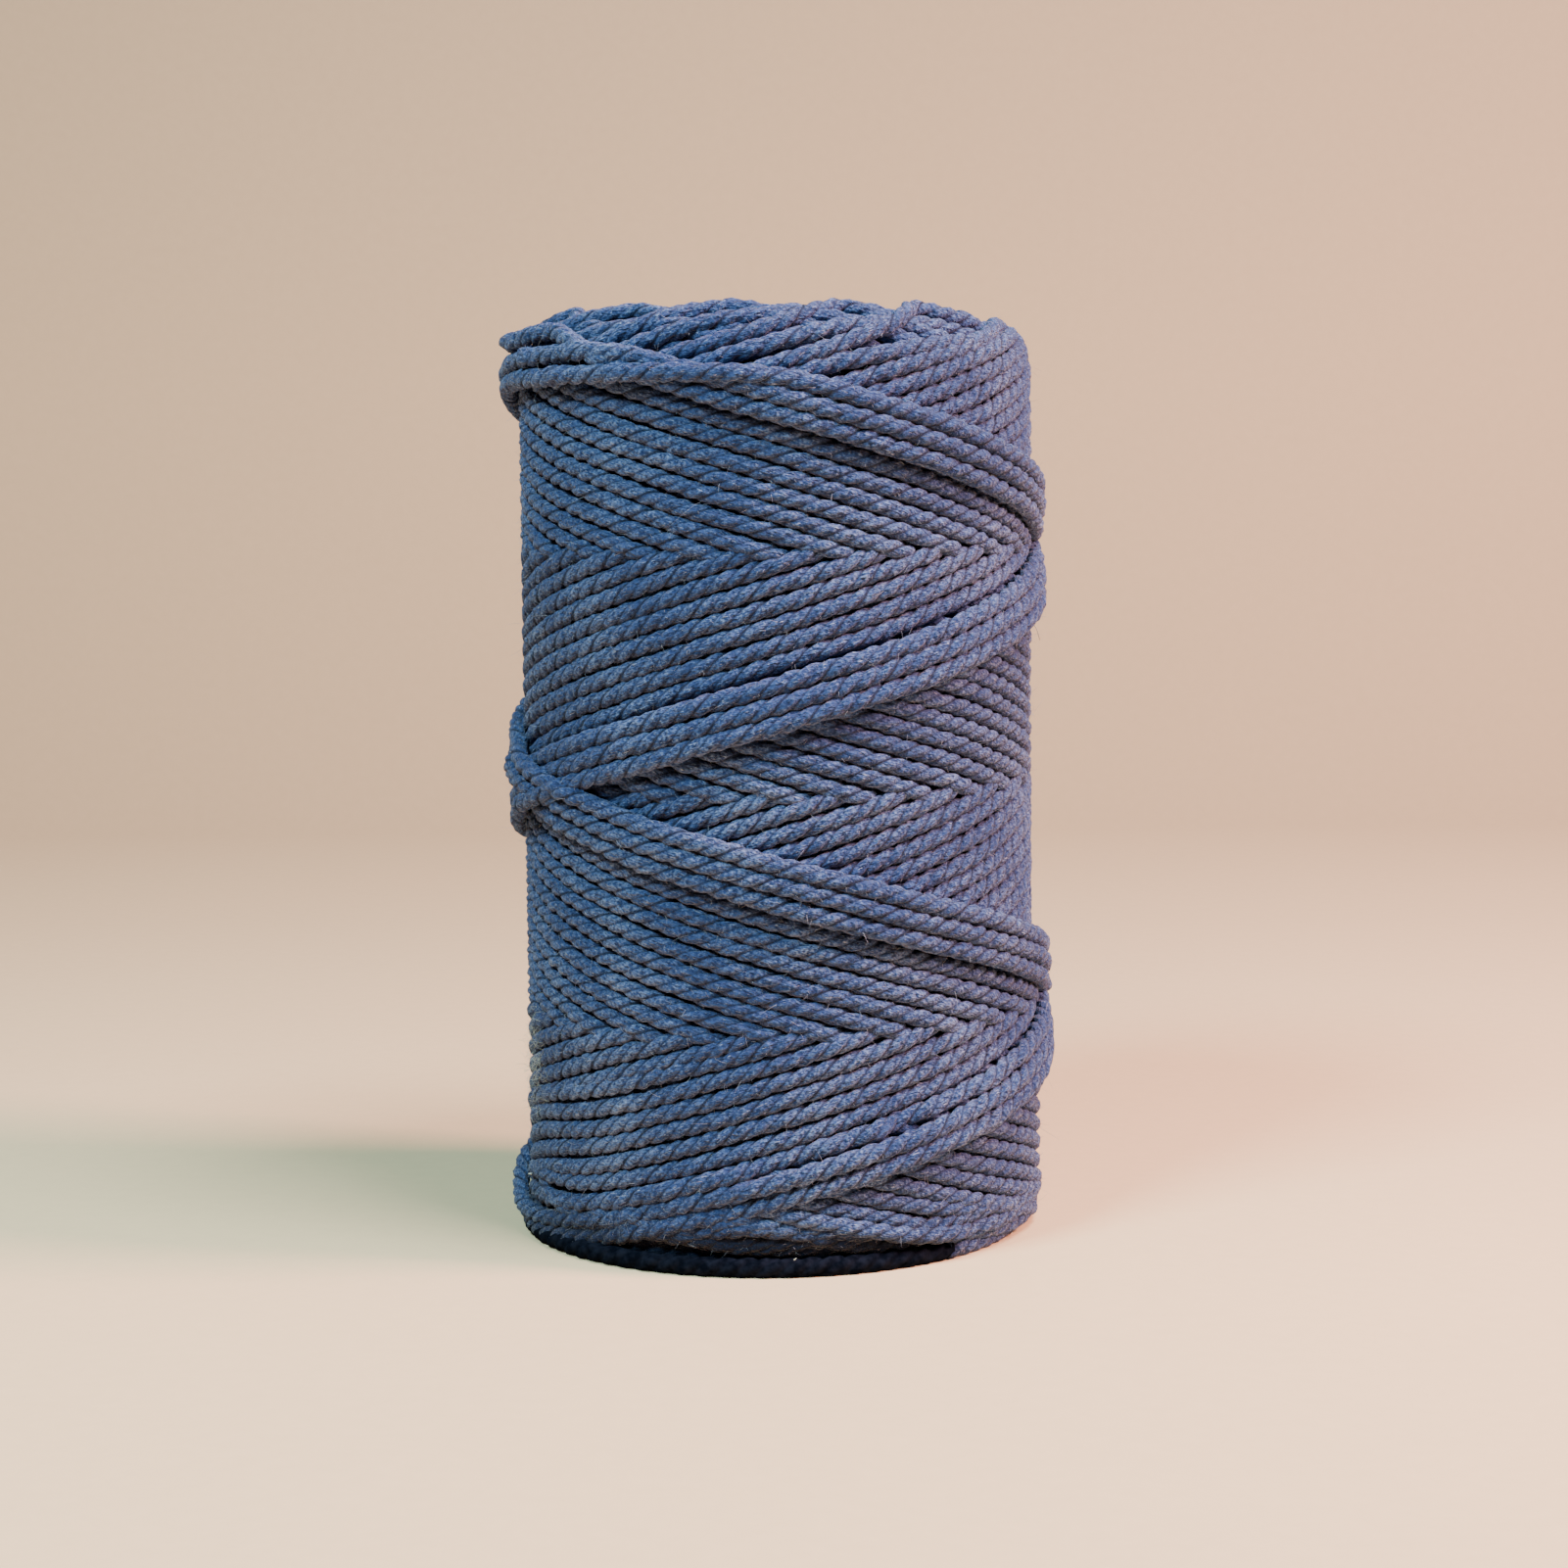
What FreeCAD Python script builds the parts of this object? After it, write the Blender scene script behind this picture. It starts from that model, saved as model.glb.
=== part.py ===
import FreeCAD, Part
import math
import os

# Standing roll of thick twisted cotton cord, cross-wound on a cardboard tube.
# Millimetres, +Z up. The origin is on the tube's axis in the plane that the roll stands on.
# Angles are in degrees about +Z, from the front of the roll (-Y) towards its right (+X).

# Cardboard tube
tube_bore_radius = 17.5
tube_wall = 2.5
tube_reveal = 1.8

# Body of older turns, wound tight on the tube
body_radius = 41.0
body_height = 156.8
body_fit = 0.1
foot_shoulder = 4.0
crown_rise = 4.6
crown_sides = 4

# Cord of the last turns: 3 mm when loose, and drawn thinner by the winding tension
cord_diameter = 2.5
cord_sides = 4
lay_gap = 0.6
crossing_slack = 0.45
seat_gap = 0.1

# Cross winding: a cycle is one stroke up and one stroke down
cycles = 5
turns_per_stroke = 2
end_clearance = 0.75
turn_back_share = 0.6
newest_upper_corner = -52.0
biarcs_per_turn = 4
least_gap_allowed = 0.4
gap_sample = 0.5

# Worked out from the sizes above
full_turn = 360.0
tube_radius = tube_bore_radius + tube_wall
edge_height = body_height - crown_rise
tube_length = edge_height + tube_reveal
body_bore_radius = tube_radius + body_fit
crown_middle = (body_radius + body_bore_radius) / 2
crown_half_width = (body_radius - body_bore_radius) / 2
crown_curve = (crown_half_width ** 2 + crown_rise ** 2) / (2 * crown_rise)
crown_spread = math.asin(crown_half_width / crown_curve)
lay = cord_diameter + lay_gap
lower_level = body_radius + seat_gap + cord_diameter / 2
upper_level = lower_level + lay + crossing_slack
end_margin = cord_diameter / 2 + end_clearance
stroke_height = body_height - 2 * end_margin
climb_angle = math.atan2(stroke_height / turns_per_stroke, 2 * math.pi * lower_level)
lay_along_axis = lay / math.cos(climb_angle)
climb_per_turn = (stroke_height - lay_along_axis / 2) / turns_per_stroke
climb_rate = climb_per_turn / full_turn
advance = full_turn * lay_along_axis / climb_per_turn
stroke_angle = full_turn * turns_per_stroke + advance / 2
turn_back = turn_back_share * advance / 2
biarcs_per_stroke = biarcs_per_turn * turns_per_stroke
biarc_turn = 2 * math.pi / biarcs_per_turn
even_climb = biarc_turn / (4 * math.tan(biarc_turn / 4))


def around(angle, radius, height):
    """The point at this angle, radius and height."""
    turned = math.radians(angle)
    return FreeCAD.Vector(radius * math.sin(turned), -radius * math.cos(turned), height)


def outward(angle):
    """The unit vector that points away from the axis at this angle."""
    return around(angle, 1, 0)


def heading(angle, radius, rate):
    """The direction that a chain of biarcs climbing rate millimetres a degree has at this angle."""
    sideways = around(angle + full_turn / 4, math.radians(radius), 0)
    return (sideways + FreeCAD.Vector(0, 0, rate * even_climb)).normalize()


def arc_from_corner(start, corner, end):
    """The arc from start to end whose end tangents meet at the corner."""
    spread = (end - start).Length / (start - corner).Length
    middle = (start + end + corner * spread) * (1 / (2 + spread))
    return Part.Arc(start, middle, end).toShape()


def biarc(start, start_heading, end, end_heading):
    """Two arcs that join two places smoothly, in the given directions."""
    gap = end - start
    along = gap.dot(start_heading + end_heading)
    turn = 2 * (1 - start_heading.dot(end_heading))
    reach = (math.sqrt(along * along + turn * gap.dot(gap)) - along) / turn
    first_corner = start + start_heading * reach
    last_corner = end - end_heading * reach
    joint = (first_corner + last_corner) * 0.5
    return [
        arc_from_corner(start, first_corner, joint),
        arc_from_corner(joint, last_corner, end),
    ]


def cord_end(angle, height, rate, leaving):
    """A cord end that stands square on the body and bends into the winding, with where it joins."""
    foot = around(angle, body_radius + seat_gap, height)
    bend = foot + outward(angle) * cord_diameter
    way = heading(angle, upper_level, rate)
    side = way if leaving else way * -1
    joint = bend + (outward(angle) + side) * cord_diameter
    corner = bend + outward(angle) * cord_diameter
    straight = Part.LineSegment(foot, bend).toShape()
    return [straight, arc_from_corner(bend, corner, joint)], joint, way


def upward_stations(corner_angle):
    """Places along a stroke up, which lies on the body all the way, as angle, radius, height and rate."""
    span = stroke_angle - 2 * turn_back
    stations = []
    for step in range(biarcs_per_stroke + 1):
        risen = turn_back + span * step / biarcs_per_stroke
        stations.append((corner_angle + risen, lower_level, end_margin + climb_rate * risen, climb_rate))
    return stations


def downward_stations(corner_angle, cycle):
    """Places along a stroke down, which rises over each band of upward turns and sinks between them."""
    band_middle = advance / 2 * ((cycles - 1) / 2 - cycle)
    fallen = [turn_back]
    radii = [upper_level]
    for quarter in range(1, biarcs_per_stroke):
        fallen.append(band_middle + full_turn * quarter / biarcs_per_turn)
        radii.append(lower_level if quarter % 2 else upper_level)
    fallen.append(stroke_angle - turn_back)
    radii.append(upper_level)
    top = body_height - end_margin
    return [
        (corner_angle + angle, radius, top - climb_rate * angle, -climb_rate)
        for angle, radius in zip(fallen, radii)
    ]


def winding_stations():
    """Places along all the strokes, from the oldest cycle to the newest."""
    oldest_lower_corner = newest_upper_corner - stroke_angle * (2 * cycles - 1)
    stations = []
    for cycle in range(cycles):
        lower_corner = oldest_lower_corner + 2 * stroke_angle * cycle
        stations += upward_stations(lower_corner)
        stations += downward_stations(lower_corner + stroke_angle, cycle)
    return stations


def winding_path():
    """The cord's centre line, whose ends are tucked into the body at the back of the roll."""
    stations = winding_stations()[biarcs_per_stroke - 1:-1]
    start_angle, _, start_height, start_rate = stations[0]
    end_angle, _, end_height, end_rate = stations[-1]
    start_edges, place, way = cord_end(start_angle, start_height, start_rate, True)
    end_edges, end_place, end_way = cord_end(end_angle, end_height, end_rate, False)
    edges = list(start_edges)
    for angle, radius, height, rate in stations[1:-1]:
        next_place = around(angle, radius, height)
        next_way = heading(angle, radius, rate)
        edges += biarc(place, way, next_place, next_way)
        place = next_place
        way = next_way
    edges += biarc(place, way, end_place, end_way)
    edges += reversed(end_edges)
    return Part.Wire(Part.sortEdges(edges)[0]), start_angle, start_height, start_rate


def least_self_gap(path):
    """The least space between two stretches of the cord, from points along its centre line."""
    points = path.discretize(Distance=gap_sample)
    apart = math.ceil(math.pi * lay / gap_sample)
    cells = {}
    least = body_height
    for index, point in enumerate(points):
        cell = tuple(math.floor(value / lay / 2) for value in point)
        for dx in (-1, 0, 1):
            for dy in (-1, 0, 1):
                for dz in (-1, 0, 1):
                    near = cells.get((cell[0] + dx, cell[1] + dy, cell[2] + dz), ())
                    for other_index, other in near:
                        if index - other_index > apart:
                            least = min(least, point.distanceToPoint(other))
        cells.setdefault(cell, []).append((index, point))
    return least - cord_diameter


def core_tube():
    """The plain cardboard tube."""
    wall = Part.makePolygon([
        FreeCAD.Vector(tube_bore_radius, 0, 0),
        FreeCAD.Vector(tube_radius, 0, 0),
        FreeCAD.Vector(tube_radius, 0, tube_length),
        FreeCAD.Vector(tube_bore_radius, 0, tube_length),
        FreeCAD.Vector(tube_bore_radius, 0, 0),
    ])
    return revolved(wall)


def revolved(outline):
    """The solid that a closed outline in the XZ plane sweeps about the axis."""
    return Part.Face(outline).revolve(FreeCAD.Vector(), FreeCAD.Vector(0, 0, 1), full_turn)


def inner_winding():
    """The older turns as one body: flat foot, rounded shoulders, and a crown that swells between the edges."""
    outline = [
        (body_bore_radius, 0),
        (body_radius - foot_shoulder, 0),
        (body_radius, foot_shoulder),
    ]
    for side in range(crown_sides + 1):
        leaning = crown_spread * (1 - 2 * side / crown_sides)
        radius = crown_middle + crown_curve * math.sin(leaning)
        outline.append((radius, body_height - crown_curve * (1 - math.cos(leaning))))
    outline.append(outline[0])
    return revolved(Part.makePolygon([FreeCAD.Vector(radius, 0, height) for radius, height in outline]))


def outer_winding():
    """The last cycles of the cord, one unbroken faceted tube laid across the body."""
    path, angle, height, rate = winding_path()
    gap = least_self_gap(path)
    print("outer winding: least gap to itself", round(gap, 3), "mm")
    if gap < least_gap_allowed:
        print("outer winding: that gap is under", least_gap_allowed, "mm")
    foot = around(angle, body_radius + seat_gap, height)
    way = heading(angle, upper_level, rate)
    across = outward(angle).cross(way)
    corners = []
    for side in range(cord_sides + 1):
        turned = 2 * math.pi * side / cord_sides
        spoke = way * math.cos(turned) + across * math.sin(turned)
        corners.append(foot + spoke * (cord_diameter / 2))
    tube = path.makePipeShell([Part.makePolygon(corners)], True, False)
    print("outer winding: cord length", round(path.Length / 1000, 2), "m")
    return tube


os.makedirs("parts", exist_ok=True)
for node, build in (
    ("core_tube", core_tube),
    ("inner_winding", inner_winding),
    ("outer_winding", outer_winding),
):
    shape = build()
    print(node, "valid", shape.isValid(), "volume", round(shape.Volume / 1000, 1), "cm3")
    shape.exportStep("parts/" + node + ".step")
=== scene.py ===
import logging
import math
from dataclasses import dataclass, field
from enum import Enum
from typing import Any, Callable, Optional, Sequence, Union

import bmesh
import bpy
import numpy as np
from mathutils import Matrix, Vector


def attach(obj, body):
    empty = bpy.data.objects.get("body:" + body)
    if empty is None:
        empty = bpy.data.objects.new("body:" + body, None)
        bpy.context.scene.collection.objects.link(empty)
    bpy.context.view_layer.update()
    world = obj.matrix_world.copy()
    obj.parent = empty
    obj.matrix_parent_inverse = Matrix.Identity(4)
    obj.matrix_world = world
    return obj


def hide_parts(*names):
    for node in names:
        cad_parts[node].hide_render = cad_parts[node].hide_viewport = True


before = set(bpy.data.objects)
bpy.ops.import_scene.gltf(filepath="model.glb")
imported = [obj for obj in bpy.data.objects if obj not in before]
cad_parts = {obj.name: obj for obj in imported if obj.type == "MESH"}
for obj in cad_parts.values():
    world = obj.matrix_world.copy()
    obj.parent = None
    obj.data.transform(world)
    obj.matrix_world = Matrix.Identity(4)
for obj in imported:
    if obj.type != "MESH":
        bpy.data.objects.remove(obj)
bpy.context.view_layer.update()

# A standing roll of thick navy cotton cord, cross-wound on a cardboard tube.
# The winding is worked out in millimetres and degrees. Angles run about +Z, from the front of the
# roll (-Y) towards its right (+X). Meshes are made in metres, where the frame is.

LOG = logging.getLogger("cord_roll")
MM = 0.001
DEGREES = 360
ROOT = "root"
CORD_SLOT = "cotton_cord"
TUBE_SLOT = "cardboard"

Colour = tuple[float, float, float, float]
Triple = tuple[float, float, float]
Span = tuple[float, float]


def around(turned: np.ndarray, radius: Union[float, np.ndarray], height: np.ndarray) -> np.ndarray:
    """Places round the axis."""
    return np.stack([radius * np.sin(turned), -radius * np.cos(turned), height], axis=1)


def closeness(angles: np.ndarray, middle: float, half_angle: float) -> np.ndarray:
    """How near each angle is to a middle one, going round the roll."""
    away = (angles - middle + DEGREES / 2) % DEGREES - DEGREES / 2
    return np.exp(-(away / half_angle) ** 2)


def unit(vectors: np.ndarray) -> np.ndarray:
    """The same directions, each one long."""
    return vectors / np.linalg.norm(vectors, axis=-1, keepdims=True)


# Shader nodes

Number = Union[float, "Signal"]


def _operator(operation: str, reflected: bool = False) -> Callable[["Signal", Number], "Signal"]:
    """One of Python's operators, as a Math node.

    Args:
        operation: The Math node's operation.
        reflected: Whether the Signal is the second of the two values.

    Returns:
        The method for the operator.
    """
    def apply(signal: "Signal", other: Number) -> "Signal":
        """Add the node."""
        pair = (other, signal) if reflected else (signal, other)
        return signal.graph.add("ShaderNodeMath", {"operation": operation}, dict(enumerate(pair)))

    return apply


class Signal:
    """One output of a shader node, which Python's operators turn into Math nodes."""

    __add__ = _operator("ADD")
    __radd__ = _operator("ADD", True)
    __sub__ = _operator("SUBTRACT")
    __rsub__ = _operator("SUBTRACT", True)
    __mul__ = _operator("MULTIPLY")
    __rmul__ = _operator("MULTIPLY", True)
    __truediv__ = _operator("DIVIDE")
    __rtruediv__ = _operator("DIVIDE", True)

    def __init__(self, graph: "Graph", socket: bpy.types.NodeSocket) -> None:
        """Keep the socket and the graph that it is in."""
        self.graph, self.socket = graph, socket


class Graph:
    """A material's node graph, built node by node."""

    def __init__(self, name: str) -> None:
        """Make an empty material.

        Args:
            name: The material's name.
        """
        self.material = bpy.data.materials.new(name)
        self.material.use_nodes = True
        self.tree = self.material.node_tree
        self.tree.nodes.clear()

    def add(self, kind: str, settings: dict[str, Any], values: dict[Union[int, str], Any],
            output: Union[int, str] = 0) -> Signal:
        """Add a node, set it up and link it.

        Args:
            kind: The node's type.
            settings: Properties of the node, set first. A ramp's stops go under "stops".
            values: A number, a colour or a Signal for each named or numbered input.
            output: Which output to hand back.

        Returns:
            The chosen output.
        """
        node = self.tree.nodes.new(kind)
        for name, setting in settings.items():
            if name == "stops":
                self._set_stops(node.color_ramp, setting)
            else:
                setattr(node, name, setting)
        for name, value in values.items():
            if isinstance(value, Signal):
                self.tree.links.new(value.socket, node.inputs[name])
            else:
                node.inputs[name].default_value = value
        return Signal(self, node.outputs[output])

    @staticmethod
    def _set_stops(ramp: bpy.types.ColorRamp, stops: Sequence[tuple[float, float]]) -> None:
        """Give a ramp its grey stops.

        Args:
            ramp: The ramp, which has two stops when new.
            stops: Place and brightness of each stop, from the left.
        """
        while len(ramp.elements) < len(stops):
            ramp.elements.new(0.5)
        for element, (place, grey) in zip(ramp.elements, stops):
            element.position = place
            element.color = (grey, grey, grey, 1.0)

    def ramp(self, value: Signal, stops: Sequence[tuple[float, float]]) -> Signal:
        """Reshape a value by a ramp of grey stops."""
        return self.add("ShaderNodeValToRGB", {"stops": stops}, {0: value})

    def blend(self, share: Number, first: Any, second: Any, way: str = "MIX") -> Signal:
        """Mix two colours."""
        settings = {"data_type": "RGBA", "blend_type": way, "clamp_factor": True}
        return self.add("ShaderNodeMix", settings, {0: share, 6: first, 7: second}, 2)

    def place(self) -> Signal:
        """The Object coordinates."""
        return self.add("ShaderNodeTexCoord", {}, {}, "Object")

    def parts(self, whole: Signal, kind: str = "ShaderNodeSeparateXYZ") -> list[Signal]:
        """Take a vector or a colour apart."""
        node = self.add(kind, {}, {0: whole}).socket.node
        return [Signal(self, socket) for socket in node.outputs]

    def between(self, length: Signal, span: Span, stops: Sequence[tuple[float, float]]) -> Signal:
        """Reshape a length by a ramp that is laid over a span."""
        start, end = span
        return self.ramp((length - start * MM) / ((end - start) * MM), stops)

    def bump(self, height: Signal, distance: float, strength: float = 1.0, under: Optional[Signal] = None
             ) -> Signal:
        """Turn a height into a normal."""
        values = {"Strength": strength, "Distance": distance, "Height": height}
        return self.add("ShaderNodeBump", {}, values if under is None else {**values, "Normal": under})

    def noise(self, vector: Signal, scale: float, detail: float = 2.0, roughness: float = 0.5) -> Signal:
        """Add a noise texture."""
        values = {"Vector": vector, "Scale": scale, "Detail": detail, "Roughness": roughness}
        return self.add("ShaderNodeTexNoise", {}, values, "Fac")

    def stretched(self, vector: Signal, stretch: Triple) -> Signal:
        """Scale a vector along its axes."""
        return self.add("ShaderNodeVectorMath", {"operation": "MULTIPLY"}, {0: vector, 1: stretch})

    def turn(self, across: Signal, deep: Signal) -> Signal:
        """The turn about the axis, as a share of a full turn."""
        return self.add("ShaderNodeMath", {"operation": "ARCTAN2"}, {0: across, 1: deep}) * (0.5 / math.pi)


# Finishes

FALLING = ((0.0, 1.0), (1.0, 0.0))


class Finish:
    """A finish, which makes one material from its own values."""

    name: str

    def surface(self, graph: Graph) -> dict[str, Any]:
        """The shader's socket values and links, which each finish says for itself."""
        raise NotImplementedError

    def material(self) -> bpy.types.Material:
        """Make the material.

        Returns:
            The material, with its shader.
        """
        graph = Graph(self.name)
        shader = graph.add("ShaderNodeBsdfPrincipled", {}, self.surface(graph))
        sink = graph.tree.nodes.new("ShaderNodeOutputMaterial")
        graph.tree.links.new(shader.socket, sink.inputs["Surface"])
        return graph.material


@dataclass(frozen=True)
class DyedCotton(Finish):
    """Navy cotton cord: soft plies of streaky yarn, pale fibres on them, painted shade in the grooves
    between, and painted shade on the turns just above the floor.
    """

    name: str = CORD_SLOT
    deep: Colour = (0.007, 0.020, 0.074, 1.0)
    plain: Colour = (0.037, 0.076, 0.206, 1.0)
    worn: Colour = (0.240, 0.335, 0.545, 1.0)
    pale_fibre: Colour = (0.520, 0.590, 0.730, 1.0)
    # Painted shade colour, for the grooves between the plies and for the turns just above the floor.
    groove_shade: Colour = (0.004, 0.008, 0.024, 1.0)
    roughness: float = 0.95
    sheen: float = 0.14
    gloss: float = 0.12
    yarn_stretch: Triple = (0.75, 17.0, 1.0)
    fibre_stretch: Triple = (1.5, 46.0, 1.0)
    pale_stretch: Triple = (0.55, 40.0, 1.0)
    tuft_scale: float = 1700.0
    lump_scale: float = 620.0
    patch_scale: float = 55.0
    yarn_height: float = 0.0007
    fibre_height: float = 0.0003
    wear: float = 0.66
    pale_share: float = 0.7
    tint_share: float = 0.25
    groove_shade_share: float = 0.6
    shade_share: float = 0.97
    shade_slope: float = 0.5
    shade_line: Span = (45.8, 48.0)
    lit_side: Span = (24.0, 32.0)

    def surface(self, graph: Graph) -> dict[str, Any]:
        """What the shader gets, which follows the cord by its UV map and its own attribute.

        Args:
            graph: The material's graph.

        Returns:
            The shader's socket values and links.
        """
        along = graph.add("ShaderNodeUVMap", {"uv_map": "cord"}, {})
        marks = graph.add("ShaderNodeAttribute", {"attribute_name": "ply"}, {}, "Color")
        groove_shade, tint, _ = graph.parts(marks, "ShaderNodeSeparateColor")
        place = graph.place()
        yarns = graph.noise(graph.stretched(along, self.yarn_stretch), 1.0, 2.0, 0.55)
        fibres = graph.noise(graph.stretched(along, self.fibre_stretch), 1.0, 2.0, 0.6)
        pale = graph.noise(graph.stretched(along, self.pale_stretch), 1.0, 3.0, 0.7)
        tufts = graph.noise(place, self.tuft_scale, 1.5, 0.6)
        lumps = graph.noise(place, self.lump_scale, 2.0, 0.6)
        patches = graph.noise(place, self.patch_scale)
        streaks = graph.ramp(yarns * 0.45 + tufts * 0.35 + lumps * 0.2, ((0.40, 0.0), (0.60, 1.0)))
        rubbed = graph.ramp(fibres * 0.45 + tufts * 0.3 + patches * 0.25, ((0.50, 0.0), (0.66, 1.0)))
        stray = graph.ramp(pale, ((0.63, 0.0), (0.70, 1.0)))
        # Painted shade in the grooves between the plies, where less light reaches.
        groove_shade_mask = graph.ramp(groove_shade * (0.25 + lumps * 1.5), ((0.35, 0.0), (1.0, 1.0)))
        colour = graph.blend(streaks, self.deep, self.plain)
        for share, tone in (
            (rubbed * (1 - groove_shade * 0.8) * self.wear, self.worn),
            (stray * (1 - groove_shade) * self.pale_share, self.pale_fibre),
            (tint * self.tint_share, self.deep),
            # These two blends paint shade: into the grooves, and onto the turns just above the floor.
            (groove_shade_mask * self.groove_shade_share, self.groove_shade),
            (self._foot_shade(graph, place), self.groove_shade),
        ):
            colour = graph.blend(share, colour, tone)
        skin = graph.bump(fibres * 0.5 + tufts, self.fibre_height)
        return {
            "Base Color": colour, "Normal": graph.bump(yarns + lumps * 0.8, self.yarn_height, under=skin),
            "Roughness": self.roughness, "Sheen Weight": self.sheen, "Sheen Roughness": 0.5,
            "Sheen Tint": (0.95, 0.95, 1.0, 1.0), "Specular IOR Level": self.gloss,
        }

    def _foot_shade(self, graph: Graph, place: Signal) -> Signal:
        """How dark the turns are just above the floor, which is less on the roll's right side.

        Args:
            graph: The material's graph.
            place: The Object coordinates.

        Returns:
            The share, from 0 to 1. It falls with the radius and the height together.
        """
        across, _, up = graph.parts(place)
        flat = graph.stretched(place, (1.0, 1.0, 0.0))
        radius = graph.add("ShaderNodeVectorMath", {"operation": "LENGTH"}, {0: flat}, "Value")
        low = graph.between(radius + up * self.shade_slope, self.shade_line, FALLING)
        left = graph.between(across, self.lit_side, FALLING)
        return low * left * self.shade_share


@dataclass(frozen=True)
class ShadedCotton(Finish):
    """The same cotton deep between the turns, where little light reaches it."""

    name: str = "cotton_in_shade"
    colour: Colour = (0.002, 0.003, 0.006, 1.0)
    lighter: Colour = (0.007, 0.009, 0.016, 1.0)
    cloud_scale: float = 700.0

    def surface(self, graph: Graph) -> dict[str, Any]:
        """What the shader gets.

        Args:
            graph: The material's graph.

        Returns:
            The shader's socket values and links.
        """
        shade = graph.ramp(graph.noise(graph.place(), self.cloud_scale), ((0.35, 0.0), (0.65, 1.0)))
        colour = graph.blend(shade, self.colour, self.lighter)
        return {"Base Color": colour, "Roughness": 1.0, "Specular IOR Level": 0.0}


@dataclass(frozen=True)
class LooseFibre(Finish):
    """Thin pale fibres that stand off the cord."""

    name: str = "cotton_fuzz"
    colour: Colour = (0.34, 0.38, 0.47, 1.0)
    cloud_scale: float = 400.0

    def surface(self, graph: Graph) -> dict[str, Any]:
        """What the shader gets.

        Args:
            graph: The material's graph.

        Returns:
            The shader's socket values and links.
        """
        shade = graph.ramp(graph.noise(graph.place(), self.cloud_scale), ((0.35, 0.55), (0.65, 1.0)))
        tone = graph.blend(1.0, shade, self.colour, "MULTIPLY")
        return {"Base Color": tone, "Roughness": 0.9, "Sheen Weight": 0.3}


@dataclass(frozen=True)
class Cardboard(Finish):
    """Grey-brown wound board, with the seam of its spiral wraps and pressed fibres."""

    name: str = TUBE_SLOT
    board: Colour = (0.360, 0.262, 0.170, 1.0)
    dark: Colour = (0.235, 0.165, 0.102, 1.0)
    seam: Colour = (0.120, 0.082, 0.050, 1.0)
    wrap_rise: float = 62.0
    seam_width: float = 0.012
    seam_share: float = 0.8
    fleck_scale: float = 1400.0
    cloud_scale: float = 90.0
    press_depth: float = 0.0002

    def surface(self, graph: Graph) -> dict[str, Any]:
        """What the shader gets.

        Args:
            graph: The material's graph.

        Returns:
            The shader's socket values and links.
        """
        place = graph.place()
        across, deep, up = graph.parts(place)
        climb = up * (1 / (self.wrap_rise * MM)) + graph.turn(across, deep)
        wrap = graph.add("ShaderNodeMath", {"operation": "FRACT"}, {0: climb})
        edge = graph.add("ShaderNodeMath", {"operation": "LESS_THAN"}, {0: wrap, 1: self.seam_width})
        fleck = graph.noise(place, self.fleck_scale, 3.0, 0.65)
        cloud = graph.noise(place, self.cloud_scale)
        shade = graph.ramp(fleck * 0.5 + cloud * 0.5, ((0.35, 0.0), (0.65, 1.0)))
        colour = graph.blend(edge * self.seam_share, graph.blend(shade, self.dark, self.board), self.seam)
        bump = graph.bump(fleck - edge, self.press_depth, 0.5)
        return {"Base Color": colour, "Normal": bump, "Roughness": 0.88}


@dataclass(frozen=True)
class PaperSweep(Finish):
    """The plain warm paper that the roll stands on and in front of."""

    name: str = "paper_sweep"
    floor: Colour = (0.695, 0.534, 0.318, 1.0)
    # The same paper in painted shade, for the back and the top of the wall.
    shaded_wall: Colour = (0.400, 0.340, 0.217, 1.0)
    fall_off: Span = (-60.0, 800.0)
    shade_fade: tuple[Span, ...] = ((0.0, 0.0), (0.2, 0.36), (0.5, 0.60), (0.86, 0.68), (1.0, 1.0))
    grain_scale: float = 300.0

    def surface(self, graph: Graph) -> dict[str, Any]:
        """What the shader gets, with painted shade that makes the paper darker towards the back and up the
        wall.

        Args:
            graph: The material's graph.

        Returns:
            The shader's socket values and links.
        """
        place = graph.place()
        _, away, up = graph.parts(place)
        # Painted shade: the further back and the higher the paper, the more of the shaded colour it takes.
        back = graph.between(away + up * 0.5, self.fall_off, self.shade_fade)
        grain = graph.ramp(graph.noise(place, self.grain_scale), ((0.3, 0.97), (0.7, 1.0)))
        tone = graph.blend(1.0, grain, graph.blend(back, self.floor, self.shaded_wall), "MULTIPLY")
        return {"Base Color": tone, "Roughness": 0.95, "Specular IOR Level": 0.1}


# How the cord runs

ADVANCE = 14.6
NEWEST_CORNER = -52.0
CYCLE = 4 * DEGREES + ADVANCE


class Side(Enum):
    """Which end of the roll a turn-back is at."""

    UPPER = "upper"
    LOWER = "lower"


@dataclass(frozen=True)
class TurnBack:
    """How the cord turns round at an end of the roll: degrees from the corner of its two strokes."""

    reach: float
    flat: float = 0.0
    crest: float = 0.0
    crest_width: float = 0.8

    def drop(self, away: np.ndarray) -> np.ndarray:
        """How far the cord stays from the corner, in degrees of climb.

        Args:
            away: Degrees from the corner.

        Returns:
            Degrees of climb from the corner's height.
        """
        distance = np.abs(away)
        past = np.clip(distance - self.flat, 0, None)
        rounded = (self.reach + self.flat) / 2 + past ** 2 / (2 * (self.reach - self.flat))
        swell = self.crest * self.reach / 2 * np.exp(-(distance / self.reach / self.crest_width) ** 2)
        return np.where(distance > self.reach, distance, rounded) - swell


@dataclass(frozen=True)
class Nudge:
    """A place where a slack turn has slipped: by how much, where, and over how many degrees."""

    angle: float
    width: float
    rise: float = 0.0
    lift: float = 0.0

    def share(self, angle: np.ndarray) -> np.ndarray:
        """How much of the nudge is felt at each angle, from 0 to 1."""
        return np.exp(-((angle - self.angle) / self.width) ** 2)


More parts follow.
